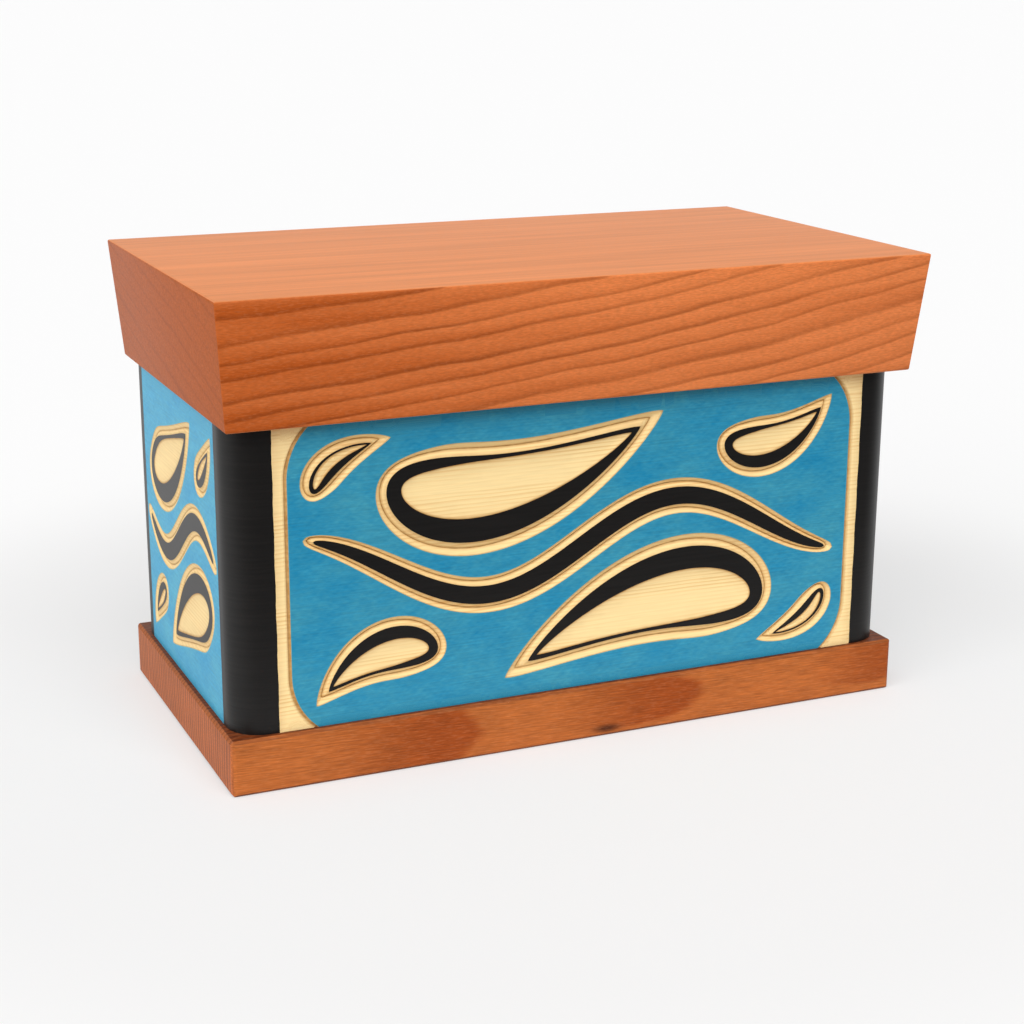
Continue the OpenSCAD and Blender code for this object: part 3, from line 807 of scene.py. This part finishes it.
def build_plank():
    """The bent plank: four carved sides, three bends, a lapped corner, a plain inside and its two edges."""
    z = sizes()
    low, high = PLANK_LOW.z / MM, PLANK_HIGH.z / MM
    half_v, middle = (high - low) / 2, (high + low) / 2
    levels = np.linspace(-half_v, half_v, PLANK_LEVELS)
    half = np.array([PLANK_HIGH.x, PLANK_HIGH.y]) / MM
    bend_r = BEND_R / MM
    flat, inner = half - bend_r, half - WALL_T / MM
    lap, glue = z.lap / MM, z.glue_gap / MM
    # Round the outside from the end of the back, the way that the grain runs
    quarter = math.pi / 2
    turns = (
        (1, 1, math.acos((bend_r - lap - glue) / bend_r), quarter), (-1, 1, quarter, 2 * quarter),
        (-1, -1, 2 * quarter, 3 * quarter), (1, -1, 3 * quarter, 4 * quarter),
        (1, 1, 0.0, math.acos((bend_r - lap) / bend_r)),
    )
    sides = (
        ((flat[0], half[1]), (-1, 0), flat[0], long_side),
        ((-half[0], flat[1]), (0, -1), flat[1], short_side),
        ((-flat[0], -half[1]), (1, 0), flat[0], long_side),
        ((half[0], -flat[1]), (0, 1), flat[1], short_side),
    )
    plank = PlankMesh()
    rims = {-1: [], 1: []}
    travelled = 0.0
    for k, (sx, sy, begin, end) in enumerate(turns):
        turn = np.linspace(begin, end, max(5, int(BEND_FACES * (end - begin) / quarter)) + 1)
        arc = np.column_stack([np.cos(turn), np.sin(turn)]) * bend_r + (sx * flat[0], sy * flat[1])
        along = travelled + bend_r * (turn - begin)
        plank.wall(arc, along, levels, BLACK)
        travelled = along[-1]
        for s in rims:
            rims[s] += [tuple(p) for p in arc]
        if k == len(sides):
            break
        start, way, half_u, carve = sides[k]
        verts, depth, amber, faces, finish = side_mesh(carve(half_u, half_v), levels)
        way = np.array(way, float)
        plan = start + np.outer(verts[:, 0] + half_u, way) - np.outer(depth, (way[1], -way[0]))
        points = np.column_stack([plan, verts[:, 1]])
        grain = np.column_stack([verts[:, 0] + half_u + travelled, depth, verts[:, 1]])
        plank.add(points, grain, amber, faces, finish)
        between = np.abs(verts[:, 0]) < half_u - ON_EDGE
        for s in rims:
            on_rim = np.nonzero(between & (np.abs(verts[:, 1] - s * half_v) < ON_EDGE))[0]
            rims[s] += [tuple(plan[i]) for i in on_rim[np.argsort(verts[on_rim, 0])]]
        travelled += 2 * half_u
    inside_line = inner_line(half, inner, flat, bend_r)
    closing = np.array([rims[1][-1]] + inside_line + [rims[1][0]])
    back = travelled - np.concatenate([[0], np.cumsum(np.linalg.norm(np.diff(closing, axis=0), axis=1))])
    plank.wall(closing, back, levels, BARE)
    for s in rims:
        plank.cap(rims[s] + inside_line, s * half_v, s > 0)
    mesh = bpy.data.meshes.new("bent_plank")
    mesh.from_pydata(((np.array(plank.points) + (0, 0, middle)) * MM).tolist(), [], plank.faces)
    ways = mesh.attributes.new("plank_way", "FLOAT_VECTOR", "POINT")
    ways.data.foreach_set("vector", (np.array(plank.ways, float) * MM).ravel())
    ambers = mesh.attributes.new("amber", "FLOAT", "POINT")
    ambers.data.foreach_set("value", np.array(plank.ambers, float))
    mesh.polygons.foreach_set("material_index", plank.finishes)
    bm = bmesh.new()
    bm.from_mesh(mesh)
    bmesh.ops.remove_doubles(bm, verts=bm.verts, dist=3 * WELD)
    bmesh.ops.recalc_face_normals(bm, faces=bm.faces)
    if any(len(e.link_faces) != 2 for e in bm.edges):
        raise RuntimeError("The plank's mesh isn't closed")
    bm.to_mesh(mesh)
    bm.free()
    keep_hard_edges(mesh)
    return mesh


# How far a corner peg's head stands proud of the bend, and a round so wide that it trims nothing
PEG_PROUD = 0.15 * MM
NO_TRIM = 10.0


def peg_tree():
    """A node tree that stands a whittled peg on each point of a mesh and trims it to a corner's round."""
    tree = bpy.data.node_groups.new("whittled_pegs", "GeometryNodeTree")
    tree.interface.new_socket("Geometry", in_out="INPUT", socket_type="NodeSocketGeometry")
    for name in ("Diameter", "Shank", "Bite", "Tip", "Round X", "Round Y", "Round radius"):
        tree.interface.new_socket(name, in_out="INPUT", socket_type="NodeSocketFloat")
    tree.interface.new_socket("Sides", in_out="INPUT", socket_type="NodeSocketInt")
    tree.interface.new_socket("Material", in_out="INPUT", socket_type="NodeSocketMaterial")
    tree.interface.new_socket("Geometry", in_out="OUTPUT", socket_type="NodeSocketGeometry")
    given = put(tree, "NodeGroupInput", out=None).outputs
    radius = put(tree, MATH, (given["Diameter"], 0.5), **TIMES)
    narrow = put(tree, MATH, (radius, 0.5), **TIMES)
    straight = put(tree, MATH, (given["Bite"], given["Tip"]), **SUB)
    whole = put(tree, MATH, (straight, given["Shank"]), **ADD)
    head = put(tree, MATH, (given["Shank"], -1.0), **TIMES)
    joined = put(tree, "GeometryNodeJoinGeometry", out=None)
    for top, depth, foot in ((radius, whole, head), (narrow, given["Tip"], straight)):
        cone = put(tree, "GeometryNodeMeshCone", {
            "Vertices": given["Sides"], "Side Segments": 3, "Fill Segments": 3,
            "Radius Top": top, "Radius Bottom": radius, "Depth": depth,
        }, fill_type="TRIANGLE_FAN")
        place = put(tree, "ShaderNodeCombineXYZ", {2: foot})
        cone = put(tree, "GeometryNodeTransform", {"Geometry": cone, "Translation": place})
        tree.links.new(cone, joined.inputs[0])
    peg = put(tree, "GeometryNodeMergeByDistance", {"Geometry": joined.outputs[0], "Distance": 1e-5})
    lean = put(tree, "GeometryNodeInputNamedAttribute", {"Name": "lean"}, data_type="FLOAT_VECTOR")
    turn = put(tree, "FunctionNodeEulerToRotation", (lean,))
    pegs = put(tree, "GeometryNodeInstanceOnPoints", {
        "Points": given["Geometry"], "Instance": peg, "Rotation": turn,
    })
    pegs = put(tree, "GeometryNodeRealizeInstances", {"Geometry": pegs})
    at = put(tree, "GeometryNodeInputPosition")
    x, y, z = put(tree, APART, (at,), out=None).outputs
    across = put(tree, MATH, (y, given["Round Y"]), **SUB)
    across = put(tree, MATH, (across, across), **TIMES)
    reach = put(tree, MATH, (given["Round radius"], given["Round radius"]), **TIMES)
    reach = put(tree, MATH, (reach, across), **SUB)
    reach = put(tree, MATH, (put(tree, MATH, (reach, 0.0), **LARGER),), operation="SQRT")
    flush = put(tree, MATH, (reach, given["Round X"]), **ADD)
    trimmed = put(tree, MATH, (x, flush), operation="MINIMUM")
    trimmed = put(tree, "ShaderNodeCombineXYZ", (trimmed, y, z))
    pegs = put(tree, "GeometryNodeSetPosition", {"Geometry": pegs, "Position": trimmed})
    pegs = put(tree, "GeometryNodeSetMaterial", {"Geometry": pegs, "Material": given["Material"]})
    put(tree, "NodeGroupOutput", (pegs,), out=None)
    return tree


def peg_mesh(name, tree, places, leans, values):
    """Pegs at some places, leaning as they are driven, as one plain mesh."""
    points = bpy.data.meshes.new(name)
    points.from_pydata(places, [], [])
    lean = points.attributes.new("lean", "FLOAT_VECTOR", "POINT")
    lean.data.foreach_set("vector", [angle for turn in leans for angle in turn])
    holder = bpy.data.objects.new(name, points)
    bpy.context.scene.collection.objects.link(holder)
    modifier = holder.modifiers.new("pegs", "NODES")
    modifier.node_group = tree
    for socket in tree.interface.items_tree:
        if socket.in_out == "INPUT" and socket.name in values:
            modifier[socket.identifier] = values[socket.name]
    holder.update_tag()
    mesh = bpy.data.meshes.new_from_object(holder.evaluated_get(bpy.context.evaluated_depsgraph_get()))
    holder.modifiers.remove(modifier)
    bpy.data.objects.remove(holder)
    mesh.name = name
    keep_hard_edges(mesh, 40.0)
    return mesh


FLOOR_R = 40.0
# Whites of the paper far from the box and of its glow, and of the walls behind it
PAPER_WHITE, WALL_WHITE = 0.93, 0.985
# Soft boxes at the front and the left: the way that their light goes, their strength, and how wide they are
SOFTBOXES = (
    ("front_softbox", (0.12, 0.9, -1.05), 1.78), ("left_softbox", (0.95, 0.5, -0.75), 1.36),
)
SOFTBOX_ANGLE = math.radians(50)
# The camera: the point that it looks at and how far off it stands, in mm, its angles, and its lens
LOOK_AT, LOOK_FROM = (-1.62, -4.876, 79.645), 854.908
AZIMUTH, ELEVATION, ROLL = (math.radians(degrees) for degrees in (-23.857, 15.985, 0.236))
SENSOR, FOCAL_LENGTH = 36, 68.891


def seamless_paper():
    """White paper, matt: it keeps the soft shadow of the box, and the camera sees it partly by a glow. Near
    the box it is greyer, a painted shade round its foot, and whiter further out. In front of the box it is
    dim for gloss, and partly so for the light that it throws back."""
    material, tree = new_material("seamless_paper")
    way = put(tree, "ShaderNodeTexCoord", out="Object")
    far = put(tree, VECTOR, (way,), out="Value", operation="LENGTH")
    far = put(tree, RANGE, (far, 0.26, 0.42), **EASED)
    white = (PAPER_WHITE, PAPER_WHITE, PAPER_WHITE, 1)
    # Greyer near the box and whiter further out: the grey near the box is painted shade round it
    tone = put(tree, MIX, {0: far, 6: colours().floor, 7: white}, **COLOURS)
    path = put(tree, "ShaderNodeLightPath", out=None).outputs
    ahead = put(tree, RANGE, (put(tree, APART, (way,), out="Y"), -0.28, -0.1, 0.9, 0.0), **EASED)
    away = put(tree, MATH, (path["Is Diffuse Ray"], 0.6, path["Is Glossy Ray"]), **SCALE_ADD)
    dim = put(tree, MATH, (away, ahead), **TIMES)
    tone = put(tree, MIX, {0: dim, 6: tone, 7: (0.05, 0.05, 0.05, 1)}, **COLOURS)
    matt = put(tree, "ShaderNodeBsdfPrincipled", {
        "Base Color": tone, "Roughness": 0.9, "Specular IOR Level": 0.1,
    })
    glow = put(tree, "ShaderNodeEmission", {"Strength": PAPER_WHITE})
    share = put(tree, MATH, (path["Is Camera Ray"], 0.4), **TIMES)
    paper = put(tree, "ShaderNodeMixShader", (share, matt, glow))
    put(tree, "ShaderNodeOutputMaterial", (paper,), out=None)
    return material


def studio_world():
    """White walls for the camera, walls that are dim in front for gloss, and even light for the rest, more
    of it from above."""
    world = bpy.data.worlds.new("studio")
    world.use_nodes = True
    tree = world.node_tree
    tree.nodes.clear()
    path = put(tree, "ShaderNodeLightPath", out=None).outputs
    seen = put(tree, MATH, (path["Is Camera Ray"], path["Is Transmission Ray"]), **LARGER)
    way = put(tree, APART, (put(tree, "ShaderNodeTexCoord", out="Generated"),), out=None).outputs
    gloss = put(tree, RANGE, (way["Y"], -0.85, 0.2, 0.15, 1.0), **EASED)
    even = put(tree, MATH, (way["Z"], 0.26, 0.24), **SCALE_ADD)
    level = put(tree, MIX, {0: path["Is Glossy Ray"], 2: even, 3: gloss}, data_type="FLOAT")
    level = put(tree, MIX, {0: seen, 2: level, 3: WALL_WHITE}, data_type="FLOAT")
    light = put(tree, "ShaderNodeBackground", {"Color": (1, 1, 1, 1), "Strength": level})
    put(tree, "ShaderNodeOutputWorld", (light,), out=None)
    return world


class BENTBOX_OT_lid(bpy.types.Operator):
    """Dresses the lid: one block of red cedar with its edges eased"""

    bl_idname = "bent_box.lid"
    bl_label = "Lid"

    def execute(self, context):
        dress_board("lid", "lid_block", sizes().lid_ease, lid_cedar(), "lid")
        return {"FINISHED"}


class BENTBOX_OT_base(bpy.types.Operator):
    """Dresses the base board: one board of brown cedar with its edges eased"""

    bl_idname = "bent_box.base"
    bl_label = "Base board"

    def execute(self, context):
        dress_board("base_board", "base_plinth", sizes().base_ease, base_cedar(), "box")
        return {"FINISHED"}


class BENTBOX_OT_plank(bpy.types.Operator):
    """Carves and paints the bent plank"""

    bl_idname = "bent_box.plank"
    bl_label = "Bent plank"

    def execute(self, context):
        mesh = build_plank()
        for finish in (yellow_cedar_oiled, blue_paint_brushed, black_paint_brushed):
            mesh.materials.append(finish())
        add_piece("bent_plank", mesh, "box", ["side_plank"])
        return {"FINISHED"}


class BENTBOX_OT_pegs(bpy.types.Operator):
    """Drives the pegs through the lap and up through the base board"""

    bl_idname = "bent_box.pegs"
    bl_label = "Pegs"

    def execute(self, context):
        z = sizes()
        tree = peg_tree()
        boxes = [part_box(name) for name in BASE_PEGS]
        foot, head = PEG_LOW.z, PEG_HIGH.z
        values = {
            "Diameter": PEG_HIGH.x - PEG_LOW.x, "Shank": 0.0, "Bite": head - foot, "Tip": z.peg_tip,
            "Round X": 0.0, "Round Y": 0.0, "Round radius": NO_TRIM, "Sides": z.peg_sides,
            "Material": peg_wood_whittled(),
        }
        places = [((low.x + high.x) / 2, (low.y + high.y) / 2, foot) for low, high in boxes]
        mesh = peg_mesh("base_pegs", tree, places, [(0, 0, 0)] * len(places), values)
        add_piece("base_pegs", mesh, "box", BASE_PEGS)
        count = len(CORNER_PEGS)
        spacing = (PLANK_HIGH.z - PLANK_LOW.z) / count
        face, mid = PLANK_HIGH.x - z.lap, PLANK_HIGH.y - WALL_T / 2
        places = [(face, mid, PLANK_LOW.z + (i + 0.5) * spacing) for i in range(count)]
        leans = [(0, z.corner_slope * (1 if i % 2 == 0 else -1) - math.pi / 2, 0) for i in range(count)]
        values.update({
            "Diameter": z.corner_peg, "Shank": z.lap, "Bite": z.corner_bite,
            "Round X": PLANK_HIGH.x - BEND_R, "Round Y": PLANK_HIGH.y - BEND_R,
            "Round radius": BEND_R + PEG_PROUD,
        })
        mesh = peg_mesh("corner_pegs", tree, places, leans, values)
        add_piece("corner_pegs", mesh, "box", CORNER_PEGS)
        return {"FINISHED"}


class BENTBOX_OT_stage(bpy.types.Operator):
    """Sets the pale floor, the soft light and the camera"""

    bl_idname = "bent_box.stage"
    bl_label = "Stage"

    def execute(self, context):
        scene = context.scene
        scene.view_settings.view_transform = "Standard"
        bm = bmesh.new()
        bmesh.ops.create_circle(bm, cap_ends=True, segments=96, radius=FLOOR_R)
        paper = bpy.data.meshes.new("floor")
        bm.to_mesh(paper)
        bm.free()
        paper.materials.append(seamless_paper())
        floor = bpy.data.objects.new("floor", paper)
        scene.collection.objects.link(floor)
        scene.world = studio_world()
        for name, way, energy in SOFTBOXES:
            sun = bpy.data.lights.new(name, "SUN")
            sun.energy, sun.angle = energy, SOFTBOX_ANGLE
            lamp = bpy.data.objects.new(name, sun)
            lamp.rotation_euler = Vector(way).to_track_quat("-Z", "Y").to_euler()
            scene.collection.objects.link(lamp)
        lens = bpy.data.cameras.new("camera")
        lens.sensor_width, lens.lens, lens.clip_end = SENSOR, FOCAL_LENGTH, 2 * FLOOR_R
        level = math.cos(ELEVATION)
        back = Vector((math.sin(AZIMUTH) * level, -math.cos(AZIMUTH) * level, math.sin(ELEVATION)))
        eye = bpy.data.objects.new("camera", lens)
        turn = (-back).to_track_quat("-Z", "Y").to_matrix() @ Matrix.Rotation(ROLL, 3, "Z")
        eye.rotation_euler = turn.to_euler()
        eye.location = Vector(LOOK_AT) * MM + back * LOOK_FROM * MM
        scene.collection.objects.link(eye)
        scene.camera = eye
        return {"FINISHED"}


class BENTBOX_PT_panel(bpy.types.Panel):
    """Lists the pieces of the box"""

    bl_idname = "BENTBOX_PT_panel"
    bl_label = "Bent box"
    bl_space_type = "VIEW_3D"
    bl_region_type = "UI"
    bl_category = "Bent box"

    def draw(self, context):
        for step in STEPS:
            self.layout.operator(step.bl_idname)


STEPS = (BENTBOX_OT_lid, BENTBOX_OT_base, BENTBOX_OT_plank, BENTBOX_OT_pegs, BENTBOX_OT_stage)
CLASSES = (BentBoxSizes, BentBoxColours) + STEPS + (BENTBOX_PT_panel,)


def register():
    for cls in CLASSES:
        bpy.utils.register_class(cls)
    bpy.types.Scene.bent_box_sizes = PointerProperty(type=BentBoxSizes)
    bpy.types.Scene.bent_box_colours = PointerProperty(type=BentBoxColours)


def unregister():
    del bpy.types.Scene.bent_box_colours
    del bpy.types.Scene.bent_box_sizes
    for cls in reversed(CLASSES):
        bpy.utils.unregister_class(cls)


def main():
    register()
    bpy.ops.bent_box.lid()
    bpy.ops.bent_box.base()
    bpy.ops.bent_box.plank()
    bpy.ops.bent_box.pegs()
    bpy.ops.bent_box.stage()


if __name__ == "__main__":
    main()
